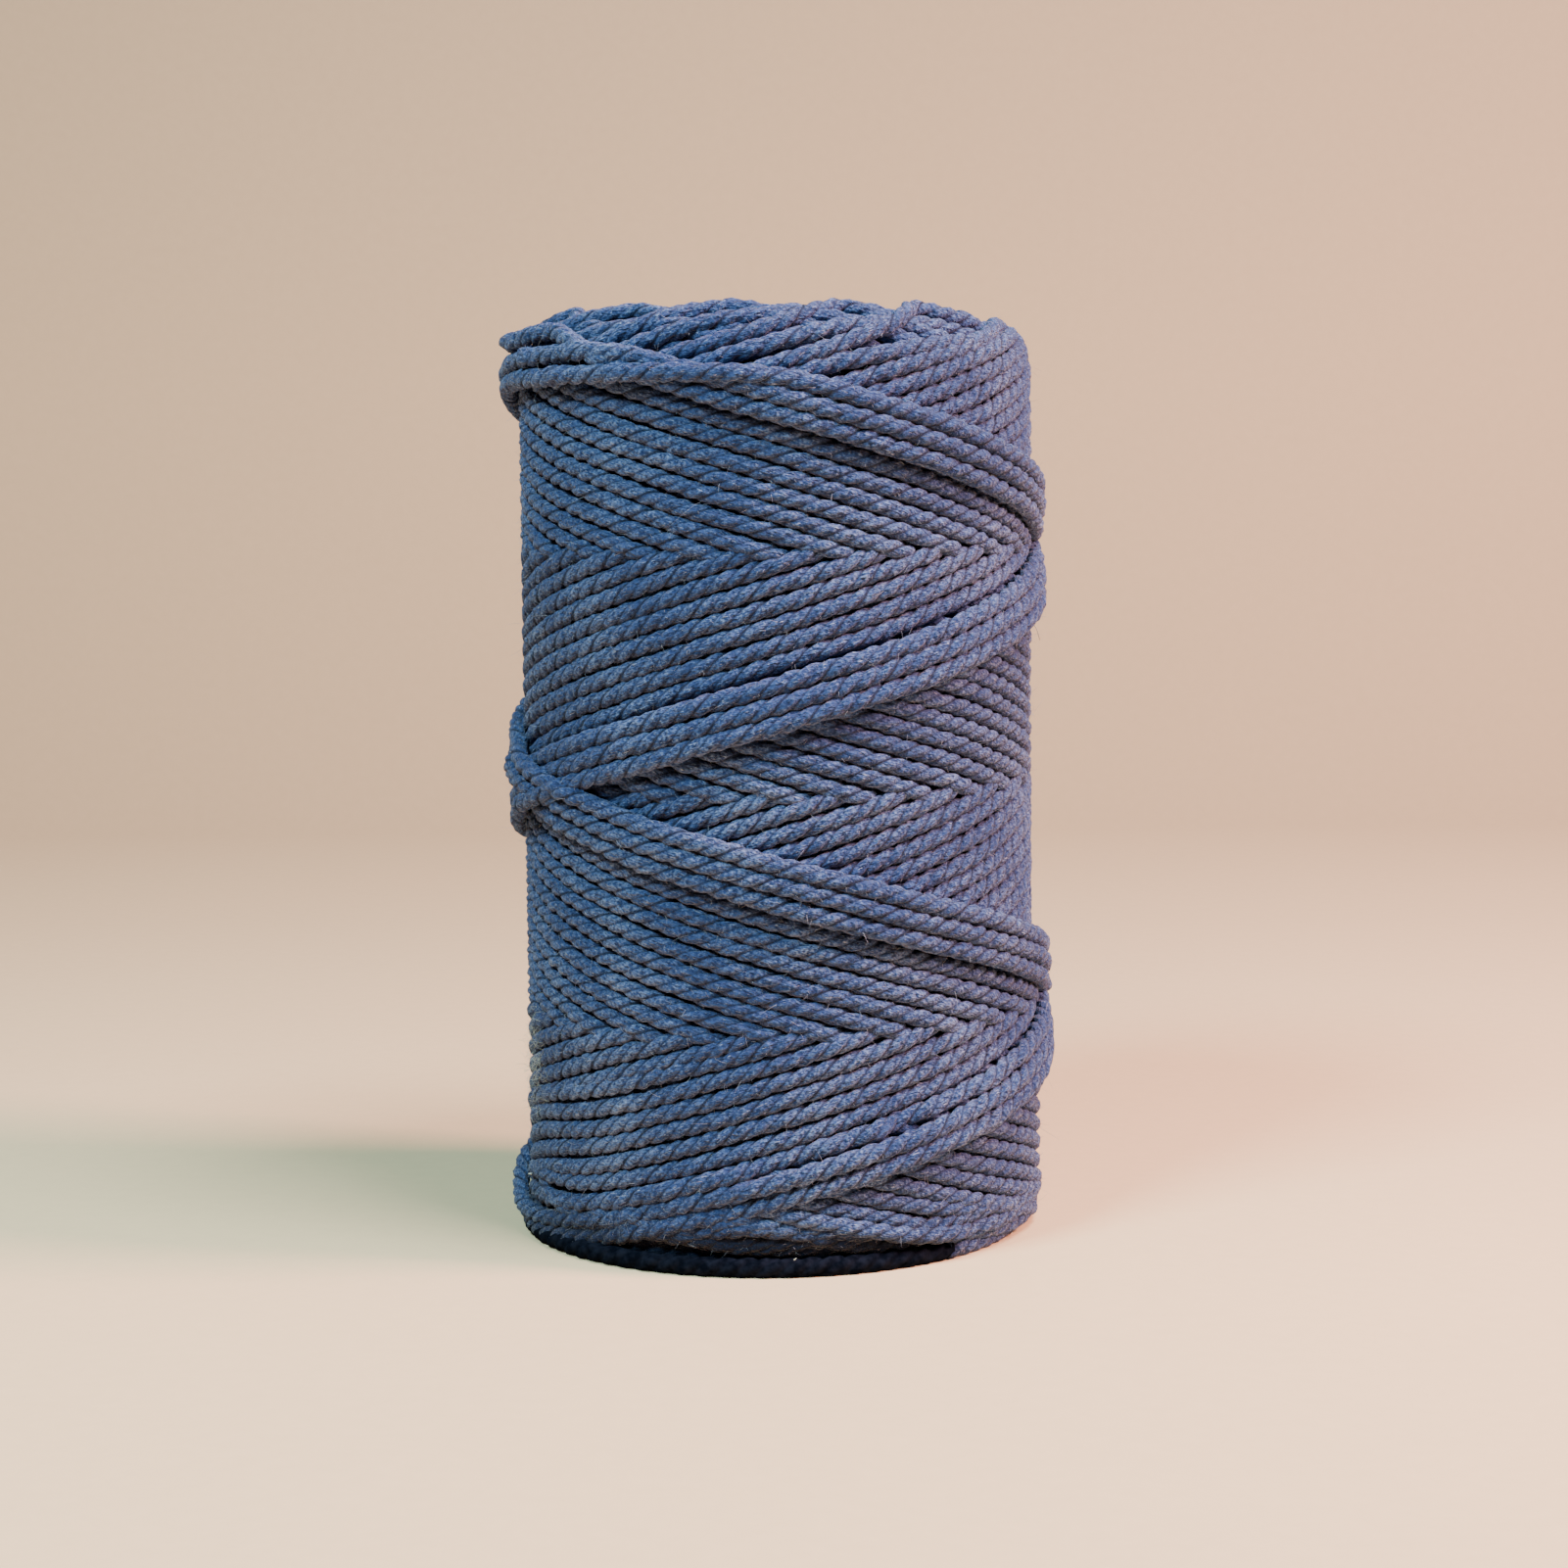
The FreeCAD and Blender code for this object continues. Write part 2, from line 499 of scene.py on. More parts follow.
@dataclass
class WindingLaw:
    """The machine's path: strokes up and down, with corners that step round the roll."""

    cycles: int = 123
    advance: float = ADVANCE
    upper_corner: float = 156.2
    lower_corner: float = -1.4
    newest_corner: float = NEWEST_CORNER
    turns_per_stroke: int = 2
    crown_dip: float = 3.8
    crown_radius: float = 26.0
    tube_radius: float = 20.0
    free_end: float = 575.0
    wander: float = 0.078
    wander_waves: tuple[float, ...] = (31.0, 67.0, 143.0)
    seed: int = 7
    upper_reaches: tuple[float, ...] = (11.0, 46.0, 24.0, 60.0, 16.0, 36.0)
    lower_reaches: tuple[float, ...] = (28.0, 54.0, 36.0, 66.0)
    reach_spread: float = 3.0
    upper_crest: float = 0.34
    lowest_turn: float = 1.5
    arch_rise: float = 1.5
    arch_height: float = 12.0
    arch_half_angle: float = 48.0
    newest_upper: tuple[TurnBack, ...] = (TurnBack(28.0), TurnBack(46.0, 9.0), TurnBack(62.0, 40.0))
    newest_lower: tuple[TurnBack, ...] = (TurnBack(40.0), TurnBack(46.0), TurnBack(28.0))

    def __post_init__(self) -> None:
        """Work out the stroke and draw each turn-back's reach."""
        self.stroke = DEGREES * self.turns_per_stroke + self.advance / 2
        self.random = np.random.default_rng(self.seed)
        self.turn_backs = {
            Side.UPPER: self._turn_backs(self.upper_reaches, self.newest_upper, self.upper_crest),
            Side.LOWER: self._turn_backs(self.lower_reaches, self.newest_lower, 0.0),
        }

    def _turn_backs(self, reaches: Sequence[float], newest: Sequence[TurnBack], crest: float
                    ) -> list[TurnBack]:
        """The turn-backs at one end, oldest first.

        Args:
            reaches: The reaches that take turns.
            newest: The last turn-backs, which are as the photograph shows them.
            crest: How far the ordinary ones swell beyond a plain rounding.

        Returns:
            One turn-back a cycle, and one more.
        """
        turn_backs = []
        for cycle in range(self.cycles + 1):
            spread = self.random.uniform(-self.reach_spread, self.reach_spread)
            turn_backs.append(TurnBack(reaches[cycle % len(reaches)] + spread, 0.0, crest))
        turn_backs[self.cycles - len(newest):self.cycles] = list(newest)
        return turn_backs

    def corner_angle(self, cycle: int, side: Side) -> float:
        """The angle of a cycle's corner, which grows all along the cord."""
        upper = self.newest_corner - 2 * self.stroke * (self.cycles - 1 - cycle)
        return upper if side is Side.UPPER else upper - self.stroke

    def dip(self, radius: float) -> float:
        """How much lower a cycle turns near the tube."""
        near = (self.crown_radius - radius) / (self.crown_radius - self.tube_radius)
        return self.crown_dip * min(max(near, 0.0), 1.0)

    def stroke_path(self, cycle: int, rising: bool, radius: float) -> tuple[np.ndarray, np.ndarray]:
        """One stroke's path, a sample a degree.

        Args:
            cycle: Which cycle it is.
            rising: Whether it goes up.
            radius: About how far from the axis it lies.

        Returns:
            The angles and the heights.
        """
        top = self.upper_corner - self.dip(radius)
        rate = (top - self.lower_corner) / self.stroke
        lower_cycle = cycle if rising else cycle + 1
        lower_angle = self.corner_angle(lower_cycle, Side.LOWER)
        upper_angle = self.corner_angle(cycle, Side.UPPER)
        first, last = sorted((lower_angle, upper_angle))
        angles = np.arange(math.ceil(first), math.ceil(last), dtype=float)
        if not rising and cycle == self.cycles - 1:
            angles = angles[angles < upper_angle + self.free_end]
        low = self.turn_backs[Side.LOWER][lower_cycle].drop(angles - lower_angle)
        high = self.turn_backs[Side.UPPER][cycle].drop(angles - upper_angle)
        near_top = np.abs(angles - upper_angle) < self.stroke / 2
        heights = np.where(near_top, top - rate * high, self.lower_corner + rate * low)
        heights = np.maximum(heights, self.lowest_turn)
        phases = self.random.uniform(0, 2 * math.pi, len(self.wander_waves))
        for wave, phase in zip(self.wander_waves, phases):
            heights += self.wander * np.sin(angles * 2 * math.pi / wave + phase)
        for nudge in SLIPPED:
            heights += nudge.rise * nudge.share(angles)
        heights = np.maximum(heights, self.lowest_turn)
        return angles, heights + self._arch(angles, heights)

    def _arch(self, angles: np.ndarray, heights: np.ndarray) -> np.ndarray:
        """How far the lowest turns stand off the floor, which is most at the front of the roll."""
        near_foot = np.clip(1 - heights / self.arch_height, 0, 1)
        return self.arch_rise * near_foot * self.facing(angles)

    def facing(self, angles: np.ndarray) -> np.ndarray:
        """How much each angle faces the front of the roll, from 0 to 1."""
        return closeness(angles, 0.0, self.arch_half_angle)


# Laying the cord down


@dataclass
class Bed:
    """The winding's surface so far: its radius over a grid of angle and height."""

    start_radius: float
    cord_radius: float = 1.5
    firm_radius: float = 1.28
    cell: float = 0.6
    lowest: float = -6.0
    highest: float = 164.0
    grip: float = 0.3
    climb: float = 78.0
    spacing_along_axis: float = 3.165
    rows_beside: int = 3

    def __post_init__(self) -> None:
        """Start with the bare tube."""
        self.rows = int((self.highest - self.lowest) / self.cell)
        self.top = np.full((DEGREES, self.rows), self.start_radius)

    def spacing(self, radius: float) -> float:
        """How far apart neighbouring turns lie, which is less near the tube, where they climb more."""
        return self.spacing_along_axis * math.cos(math.atan(self.climb / (2 * math.pi * radius)))

    def footprint(self, angles: np.ndarray, heights: np.ndarray, radius: float
                  ) -> tuple[np.ndarray, np.ndarray, np.ndarray, np.ndarray]:
        """The cells under the cord at each sample.

        Args:
            angles: Where the samples are, in degrees.
            heights: How high they are.
            radius: About how far from the axis they lie.

        Returns:
            Columns, rows, how far the cord's skin is from its middle there, and the distance.
        """
        width = math.radians(1) * radius
        reach = min(self.cord_radius, self.spacing(radius) / 2)
        steps = np.arange(-math.ceil(reach / width), math.ceil(reach / width) + 1)
        lifts = np.arange(-self.rows_beside, self.rows_beside + 1)
        column = (angles.astype(int)[:, None, None] + steps[None, :, None]) % DEGREES
        row = np.round((heights - self.lowest) / self.cell).astype(int)[:, None, None] + lifts
        rise = row * self.cell + self.lowest - heights[:, None, None]
        distance = np.sqrt((steps * width)[None, :, None] ** 2 + rise ** 2) / reach
        skin = self.firm_radius * np.sqrt(np.clip(1 - distance ** 2, 0, None))
        column = np.broadcast_to(column, distance.shape)
        row = np.broadcast_to(np.clip(row, 0, self.rows - 1), distance.shape)
        return column, row, skin, distance

    def support(self, angles: np.ndarray, heights: np.ndarray, radius: float) -> np.ndarray:
        """How far out the cord's middle has to lie to clear what is under it.

        Args:
            angles: Where the samples are.
            heights: How high they are.
            radius: About how far from the axis they lie.

        Returns:
            The least radius at each sample.
        """
        column, row, skin, distance = self.footprint(angles, heights, radius)
        reached = np.where(distance < self.grip, self.top[column, row] + skin, 0)
        return reached.max(axis=(1, 2))

    def lay(self, angles: np.ndarray, heights: np.ndarray, radii: np.ndarray) -> None:
        """Add a stretch of cord to the surface.

        Args:
            angles: Where the samples are.
            heights: How high they are.
            radii: How far out the cord's middle lies.
        """
        column, row, skin, distance = self.footprint(angles, heights, float(radii.mean()))
        inside = distance < 1
        level = (radii[:, None, None] + skin)[inside]
        np.maximum.at(self.top, (column[inside], row[inside]), level)

    def hides(self, angles: np.ndarray, heights: np.ndarray, radii: np.ndarray, depth: float) -> np.ndarray:
        """Which samples the finished surface hides.

        Args:
            angles: Where the samples are.
            heights: How high they are.
            radii: How far out the cord's middle lies.
            depth: How much must lie over the cord, in millimetres.

        Returns:
            True for each hidden sample.
        """
        column, row, skin, distance = self.footprint(angles, heights, float(radii.mean()))
        cover = self.top[column, row] - (radii[:, None, None] + skin)
        return np.where(distance < self.grip, cover, np.inf).min(axis=(1, 2)) > depth


@dataclass(frozen=True)
class Shoulder:
    """The rounding at one end of the roll: where it starts, how high it is, and how deep."""

    start: float
    height: float
    depth: float

    def share(self, heights: np.ndarray) -> np.ndarray:
        """How far through the rounding each height is, from 0 to nearly 1."""
        return np.clip((heights - self.start) / self.height, 0, 0.99)

    def cut(self, heights: np.ndarray, deeper: Union[float, np.ndarray] = 1.0) -> np.ndarray:
        """How far in the rounding takes the surface."""
        return self.depth * deeper * (1 - np.sqrt(1 - self.share(heights) ** 2))


@dataclass
class Winder:
    """Lays the whole cord in its true order, so that every crossing lies as it was wound."""

    law: WindingLaw = field(default_factory=WindingLaw)
    layer_cycles: int = 24
    layers: int = 5
    last_bed: float = 38.5
    upper_level: float = 3.64
    bend: float = 0.12
    soften: float = 1.1
    upper_shoulder: Shoulder = Shoulder(144.0, 11.6, 8.0)
    lower_shoulder: Shoulder = Shoulder(9.0, -9.5, 2.5)
    under_step: float = 2.4
    foot_step: float = 0.6
    under_reach: float = 14.0
    least_radius: float = 21.5
    proud_cycles: int = 3
    proud_room: float = 4.0
    slack_room: float = 0.4
    proud_above: Span = (10.0, 25.0)
    foot_flare: float = 3.0
    foot_height: float = 9.0
    undercut: float = 3.2
    swell_angle: float = 90.0
    swell_half_angle: float = 44.0
    swell_heights: Triple = (20.0, 42.0, 52.0)
    swell_depths: Triple = (1.5, 1.2, 0.0)
    press_reach: float = 6.0
    tautness: Span = (0.75, 0.3)
    taut_ease: float = 1.08
    tuck: float = 3.4
    tuck_length: float = 12.0

    def layer(self, cycle: int) -> int:
        """Which double layer a cycle belongs to, counted from the tube."""
        return min(cycle // self.layer_cycles, self.layers - 1)

    def layer_radius(self, layer: int) -> float:
        """How far out the surface is that a double layer is wound on."""
        tube = self.law.tube_radius
        return tube + (self.last_bed - tube) * layer / (self.layers - 1)

    def wind(self) -> "Course":
        """Lay every stroke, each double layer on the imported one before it.

        Returns:
            The whole cord's course, with the finished surface.
        """
        bed = Bed(self.law.tube_radius)
        lengths = []
        for cycle in range(self.law.cycles):
            if self.layer(cycle) > self.layer(max(cycle - 1, 0)):
                bed = Bed(self.layer_radius(self.layer(cycle)))
                self._flare(bed)
            for rising in (True, False):
                lengths.append(self._lay_stroke(bed, cycle, rising))
        angles, heights, radii, cycles = (np.concatenate(part) for part in zip(*lengths))
        return Course(angles, heights, radii, cycles, bed)

    def _flare(self, bed: Bed) -> None:
        """Widen a surface towards its foot, except at the front, and let its right side swell.

        Args:
            bed: The bare surface.
        """
        heights = np.arange(bed.rows) * bed.cell + bed.lowest
        flare = self.foot_flare * np.clip(1 - heights / self.foot_height, 0, 1)
        angles = np.arange(DEGREES)[:, None]
        bed.top += flare * (1 - self.law.facing(angles)) + self._swell(angles, heights)

    def _swell(self, angles: np.ndarray, heights: np.ndarray) -> np.ndarray:
        """How much further out the lower part of the roll lies on its right side."""
        share = closeness(angles, self.swell_angle, self.swell_half_angle)
        return share * np.interp(heights, self.swell_heights, self.swell_depths)

    def _lay_stroke(self, bed: Bed, cycle: int, rising: bool) -> tuple[np.ndarray, ...]:
        """Lay one stroke.

        Args:
            bed: The surface so far.
            cycle: Which cycle it is.
            rising: Whether it goes up.

        Returns:
            Its angles, heights, radii and cycle numbers.
        """
        nominal = self.layer_radius(self.layer(cycle)) + self.upper_level
        angles, heights = self.law.stroke_path(cycle, rising, nominal)
        lift = sum(nudge.lift * nudge.share(angles) for nudge in SLIPPED)
        step = math.radians(1) * nominal
        age = self.law.cycles - 1 - cycle
        proud = self.proud_room if age < self.proud_cycles else self.slack_room
        room = self._room(angles, heights, nominal)
        room += np.interp(heights, self.proud_above, (self.slack_room, proud))
        carried = np.minimum(bed.support(angles, heights, nominal), room)
        radii = self._pressed(carried, step)
        if age < len(self.tautness):
            taut = self._taut(carried, step)
            radii += self.tautness[age] * np.clip(taut - radii, 0, None)
        radii = self._smoothed(np.minimum(radii, room) + lift, self.soften / step)
        if not rising and age == 0:
            from_end = np.arange(len(radii))[::-1] * step
            radii -= self.tuck * np.clip(1 - from_end / self.tuck_length, 0, 1) ** 1.5
        bed.lay(angles, heights, np.maximum(carried, radii) if age == 0 else carried)
        return angles, heights, radii, np.full(len(angles), cycle)

    def _pressed(self, carried: np.ndarray, step: float) -> np.ndarray:
        """The cord's line when the later turns press it down, which bends no sharper than it can.

        Args:
            carried: The least radius at each sample.
            step: Millimetres between samples.

        Returns:
            The cord's radius at each sample.
        """
        reach = int(self.press_reach / step)
        line = carried.copy()
        for shift in range(1, reach + 1):
            fall = self.bend * (shift * step) ** 2
            line[shift:] = np.maximum(line[shift:], carried[:-shift] - fall)
            line[:-shift] = np.maximum(line[:-shift], carried[shift:] - fall)
        return line

    def _taut(self, carried: np.ndarray, step: float) -> np.ndarray:
        """The cord's line when it is drawn tight from one high place to the next.

        Args:
            carried: The least radius at each sample.
            step: Millimetres between samples.

        Returns:
            The cord's radius at each sample.
        """
        along = np.arange(len(carried)) * step
        sag = along ** 2 / (2 * (self.last_bed + self.upper_level) * self.taut_ease)
        raised = carried - sag
        hull: list[int] = []
        for index in range(len(raised)):
            while len(hull) > 1:
                first, middle = hull[-2], hull[-1]
                slope = (raised[middle] - raised[first]) * (index - first)
                if slope > (raised[index] - raised[first]) * (middle - first):
                    break
                hull.pop()
            hull.append(index)
        return np.interp(along, along[hull], raised[hull]) + sag

    def _departed(self, angles: np.ndarray) -> np.ndarray:
        """Which side of its turn-back each sample is on, from 0, arriving, to 1, leaving.

        Args:
            angles: The angles of one stroke, from its first corner to its last.

        Returns:
            The share of leaving.
        """
        leaving = np.clip((angles - angles[0]) / self.under_reach, 0, 1)
        arriving = np.clip((angles[-1] - angles) / self.under_reach, 0, 1)
        return np.where(angles - angles[0] < angles[-1] - angles, 0.5 + leaving / 2, 0.5 - arriving / 2)

    def _room(self, angles: np.ndarray, heights: np.ndarray, nominal: float) -> np.ndarray:
        """How far out the cord may lie, which the rounded shoulders limit.

        Args:
            angles: Where the samples are.
            heights: How high the samples are.
            nominal: The upper level at this time.

        Returns:
            The most radius at each sample. A cord that leaves its turn-back goes under the next ones.
        """
        cut = self.upper_shoulder.cut(heights)
        cut += self.lower_shoulder.cut(heights, 1 + self.undercut * self.law.facing(angles))
        under = self.under_step * self.upper_shoulder.share(heights)
        under += self.foot_step * self.lower_shoulder.share(heights)
        cut += self._departed(angles) * under
        return np.maximum(nominal - cut + self._swell(angles, heights), self.least_radius)

    @staticmethod
    def _smoothed(values: np.ndarray, spread: float) -> np.ndarray:
        """Smooth a line with a bell-shaped window.

        Args:
            values: The line.
            spread: The window's spread, in samples.

        Returns:
            The smooth line.
        """
        reach = max(int(3 * spread), 1)
        window = np.exp(-0.5 * (np.arange(-reach, reach + 1) / spread) ** 2)
        padded = np.pad(values, reach, mode="edge")
        return np.convolve(padded, window / window.sum(), mode="valid")


# Slipped turns, by their angle along the cord, where the newest upper corner is at NEWEST_CORNER. Each of
# the last four rows is several cycles: the first two at one place, the others at their upper corners.
SLIPPED: tuple[Nudge, ...] = (
    Nudge(-112.0, 27.0, -4.3, 1.3),
    Nudge(-84.0, 12.0, 0.6, 0.0),
    Nudge(-1500.0, 24.0, -1.3, 0.0),
    Nudge(-2954.0, 11.0, -0.7, 0.0),
    Nudge(-1548.0, 30.0, -4.4, 0.5),
    Nudge(-1530.0, 24.0, 0.0, 0.7),
    Nudge(-2968.0, 20.0, -1.7, 2.2),
    Nudge(-2936.0, 20.0, 1.5, 0.0),
    Nudge(-819.0, 25.0, -3.0, 0.0),
    Nudge(-786.0, 30.0, 0.0, 2.6),
    Nudge(-2268.0, 14.0, 3.6, 2.6),
    Nudge(-2244.0, 26.0, 0.0, 2.8),
    Nudge(-25525.0, 24.0, -0.8, 1.4),
    Nudge(-26240.8, 8.0, 1.4),
    *(Nudge(-725.0 - 4 * DEGREES * age, 60.0, 1.2) for age in range(9)),
    *(Nudge(-800.0 - 4 * DEGREES * age, 28.0, 3.4) for age in range(2, 9)),
    *(Nudge(NEWEST_CORNER - CYCLE * age, 36.0, -1.7) for age in (14, 15, 16, 17)),
    *(Nudge(NEWEST_CORNER - CYCLE * age, 36.0, 0.8) for age in (21, 22, 23, 24)),
)


@dataclass
class Course:
    """Where the whole cord runs, a sample a degree, and the surface that it makes."""

    angles: np.ndarray
    heights: np.ndarray
    radii: np.ndarray
    cycles: np.ndarray
    bed: Bed

    def __post_init__(self) -> None:
        """Measure along the cord."""
        turn = np.radians(np.diff(self.angles)) * (self.radii[1:] + self.radii[:-1]) / 2
        rise = np.diff(self.heights)
        out = np.diff(self.radii)
        step = np.sqrt(turn ** 2 + rise ** 2 + out ** 2)
        self.along = np.concatenate(([0.0], np.cumsum(step)))

    def runs(self, wanted: np.ndarray, margin: int, least: int = 3) -> list[tuple[int, int]]:
        """The unbroken stretches that hold the wanted samples.

        Args:
            wanted: True for each wanted sample.
            margin: Samples to add at each end.
            least: A stretch with no more samples than this is left out.

        Returns:
            First and last sample of each stretch.
        """
        grown = np.convolve(wanted.astype(int), np.ones(2 * margin + 1, int), mode="same") > 0
        edges = np.flatnonzero(np.diff(np.concatenate(([0], grown.astype(int), [0]))))
        stretches = zip(edges[::2], edges[1::2])
        return [(int(first), int(last) - 1) for first, last in stretches if last - first > least]

    def hidden(self, which: np.ndarray, depth: float) -> np.ndarray:
        """Which of some samples the finished surface hides."""
        return self.bed.hides(self.angles[which], self.heights[which], self.radii[which], depth)


# Cord meshes


@dataclass(frozen=True)
class CordSection:
    """The cord's cross-section: three round plies twisted together."""

    plies: int = 3
    ply_radius: float = 1.0
    ply_offset: float = 0.53
    points: int = 18
    flatness: float = 0.94
    lay_length: float = 10.2
    lay_drift: float = 0.32
    drift_waves: tuple[Triple, ...] = ((13.7, 0.0, 1.0), (5.3, 1.1, 0.6))
    rings_per_lay: int = 10

    @property
    def spacing(self) -> float:
        """Millimetres between rings."""
        return self.lay_length / self.rings_per_lay

    def outline(self) -> tuple[np.ndarray, np.ndarray]:
        """The section's points, which start in a groove.

        Returns:
            The angles, and how far each point is from the middle.
        """
        turned = 2 * math.pi * np.arange(self.points) / self.points
        sector = 2 * math.pi / self.plies
        off = (turned % sector) - sector / 2
        reach = self.ply_offset * np.cos(off)
        reach += np.sqrt(self.ply_radius ** 2 - (self.ply_offset * np.sin(off)) ** 2)
        return turned, reach

    def ply(self, turned: np.ndarray) -> np.ndarray:
        """The number of the ply that each angle of the section is on."""
        return np.floor(turned / (2 * math.pi) * self.plies)

    def twist(self, along: np.ndarray) -> np.ndarray:
        """How far the plies have turned, which is a little uneven."""
        drift = sum(share * np.sin(along / length + phase) for length, phase, share in self.drift_waves)
        return -2 * math.pi * along / self.lay_length + self.lay_drift * drift


@dataclass
class CordMesher:
    """Sweeps the twisted section along stretches of the course."""

    course: Course
    section: CordSection = field(default_factory=CordSection)
    unevenness: float = 0.045
    swell_waves: tuple[Span, ...] = ((0.71, 2.1), (1.93, 4.3))
    slack_cycles: int = 3
    slack_swell: float = 0.08
    grain: float = 0.035
    groove_edge: float = 2.5
    shade_waves: Span = (37.0, 61.0)
    ply_shade: float = 2.4
    seed: int = 11

    def __post_init__(self) -> None:
        """Start the draws for the cord's uneven skin."""
        self.random = np.random.default_rng(self.seed)

    def sweep(self, name: str, runs: Sequence[tuple[int, int]]) -> bpy.types.Object:
        """Make one piece from several stretches of the cord.

        Args:
            name: The piece's name.
            runs: First and last sample of each stretch.

        Returns:
            The piece.
        """
        stretches, start = [], 0
        for first, last in runs:
            stretches.append(self._stretch(first, last, start))
            start += len(stretches[-1][0])
        points, faces, places, marks = zip(*stretches)
        return self._object(name, np.concatenate(points), faces, np.concatenate(places),
                            np.concatenate(marks))

    def centre_line(self, first: int, last: int) -> tuple[np.ndarray, np.ndarray]:
        """Evenly spaced points along a stretch.

        Args:
            first: Its first sample.
            last: Its last sample.

        Returns:
            The points, in millimetres, and how far along the cord each is.
        """
        course, samples = self.course, slice(first, last + 1)
        along = course.along[samples]
        count = max(int((along[-1] - along[0]) / self.section.spacing), 3)
        wanted = np.linspace(along[0], along[-1], count)
        measured = (course.angles, course.heights, course.radii)
        angle, height, radius = (np.interp(wanted, along, values[samples]) for values in measured)
        return around(np.radians(angle), radius, height), wanted

    def _stretch(self, first: int, last: int, start: int) -> tuple[Any, ...]:
        """The rings of one stretch.

        Args:
            first: Its first sample.
            last: Its last sample.
            start: The number of its first vertex.

        Returns:
            Vertices, faces, UV places of the vertices, and their marks.
        """
        centre, along = self.centre_line(first, last)
        way = unit(np.gradient(centre, axis=0))
        out = centre * np.array([1.0, 1.0, 0.0])
        out = unit(out - way * (out * way).sum(axis=1, keepdims=True))
        side = np.cross(way, out)
        turned, reach = self.section.outline()
        angle = turned[None, :] + self.section.twist(along)[:, None]
        spoke = out[:, None, :] * (np.cos(angle) * self.section.flatness)[:, :, None]
        spoke = spoke + side[:, None, :] * np.sin(angle)[:, :, None]
        thickness = reach[None, :, None] * self._swell(along, turned)
        points = centre[:, None, :] + spoke * thickness * self._fullness(along)
        place = np.stack([np.broadcast_to(along[:, None], angle.shape), angle / (2 * math.pi)], axis=2)
        index = start + np.arange(angle.size).reshape(angle.shape)
        following = np.roll(index, -1, axis=1)
        quads = np.stack([index[:-1], following[:-1], following[1:], index[1:]], axis=2).reshape(-1, 4)
        faces = (quads, index[0][::-1], index[-1])
        return points.reshape(-1, 3), faces, place.reshape(-1, 2), self._marks(along, turned, reach)

    def _fullness(self, along: np.ndarray) -> np.ndarray:
        """How much fuller the newest, slack turns are.

        Args:
            along: How far along the cord each ring is.

        Returns:
            A factor for each ring.
        """
        course = self.course
        sample = np.clip(np.searchsorted(course.along, along), 0, len(course.along) - 1)
        slack = course.cycles[sample] > course.cycles.max() - self.slack_cycles
        return (1 + self.slack_swell * slack)[:, None, None]

    def _swell(self, along: np.ndarray, turned: np.ndarray) -> np.ndarray:
        """How much thicker or thinner the cord is at each point.

        Args:
            along: How far along the cord each ring is.
            turned: The section's angles.

        Returns:
            A factor for each ring and point.
        """
        place, ply = along[:, None], self.section.ply(turned)[None, :]
        wave = sum(np.sin(place * pace + ply * phase) for pace, phase in self.swell_waves)
        speckle = self.random.normal(0, self.grain, wave.shape)
        return 1 + (self.unevenness * 0.5 * wave + speckle)[:, :, None]

    def _marks(self, along: np.ndarray, turned: np.ndarray, reach: np.ndarray) -> np.ndarray:
        """What the cotton's material reads at each vertex.

        Args:
            along: How far along the cord each ring is.
            turned: The section's angles.
            reach: How far each point is from the middle.

        Returns:
            How deep in a groove it is, which sets the painted groove shade, how dark its ply is, nothing,
            and 1.
        """
        slow, quick = self.shade_waves
        tint = 0.5 + 0.25 * np.sin(along / slow)[:, None]
        tint = tint + 0.25 * np.sin(along[:, None] / quick + self.section.ply(turned) * self.ply_shade)
        # How deep in a groove each point is, which the material turns into painted shade.
        groove_shade = ((reach.max() - reach) / (reach.max() - reach.min())) ** self.groove_edge
        groove_shade = np.broadcast_to(groove_shade, tint.shape)
        return np.stack([groove_shade, tint, np.zeros_like(tint), np.ones_like(tint)], axis=2).reshape(-1, 4)

    @staticmethod
    def _object(name: str, points: np.ndarray, faces: Sequence[tuple[np.ndarray, ...]],
                places: np.ndarray, marks: np.ndarray) -> bpy.types.Object:
        """Make the mesh object.

        Args:
            name: The piece's name.
            points: All vertices, in millimetres.
            faces: Quads and two end faces of each stretch.
            places: The UV place of each vertex.
            marks: The marks of each vertex.

        Returns:
            The piece.
        """
        corners, sizes = [], []
        for quads, start_face, end_face in faces:
            corners += [quads.reshape(-1), start_face, end_face]
            sizes += [4] * len(quads) + [len(start_face), len(end_face)]
        corner = np.concatenate(corners)
        piece = mesh_piece(name, points, corner, np.array(sizes))
        layer = piece.data.uv_layers.new(name="cord")
        layer.data.foreach_set("uv", places[corner].astype(np.float32).ravel())
        ply = piece.data.color_attributes.new(name="ply", type="FLOAT_COLOR", domain="POINT")
        ply.data.foreach_set("color", marks.astype(np.float32).ravel())
        return piece


def mesh_piece(name: str, points: np.ndarray, corner: np.ndarray, size: np.ndarray) -> bpy.types.Object:
    """Make a smooth mesh object from arrays.

    Args:
        name: The piece's name.
        points: All vertices, in millimetres.
        corner: The vertex at each corner of each face.
        size: How many corners each face has.

    Returns:
        The piece.
    """
    mesh = bpy.data.meshes.new(name)
    mesh.vertices.add(len(points))
    mesh.vertices.foreach_set("co", (points * MM).astype(np.float32).ravel())
    mesh.loops.add(len(corner))
    mesh.loops.foreach_set("vertex_index", corner.astype(np.int32))
    mesh.polygons.add(len(size))
    mesh.polygons.foreach_set("loop_start", (np.cumsum(size) - size).astype(np.int32))
    mesh.update(calc_edges=True)
    mesh.polygons.foreach_set("use_smooth", np.ones(len(size), bool))
    mesh.validate()
    piece = bpy.data.objects.new(name, mesh)
    bpy.context.scene.collection.objects.link(piece)
    return piece


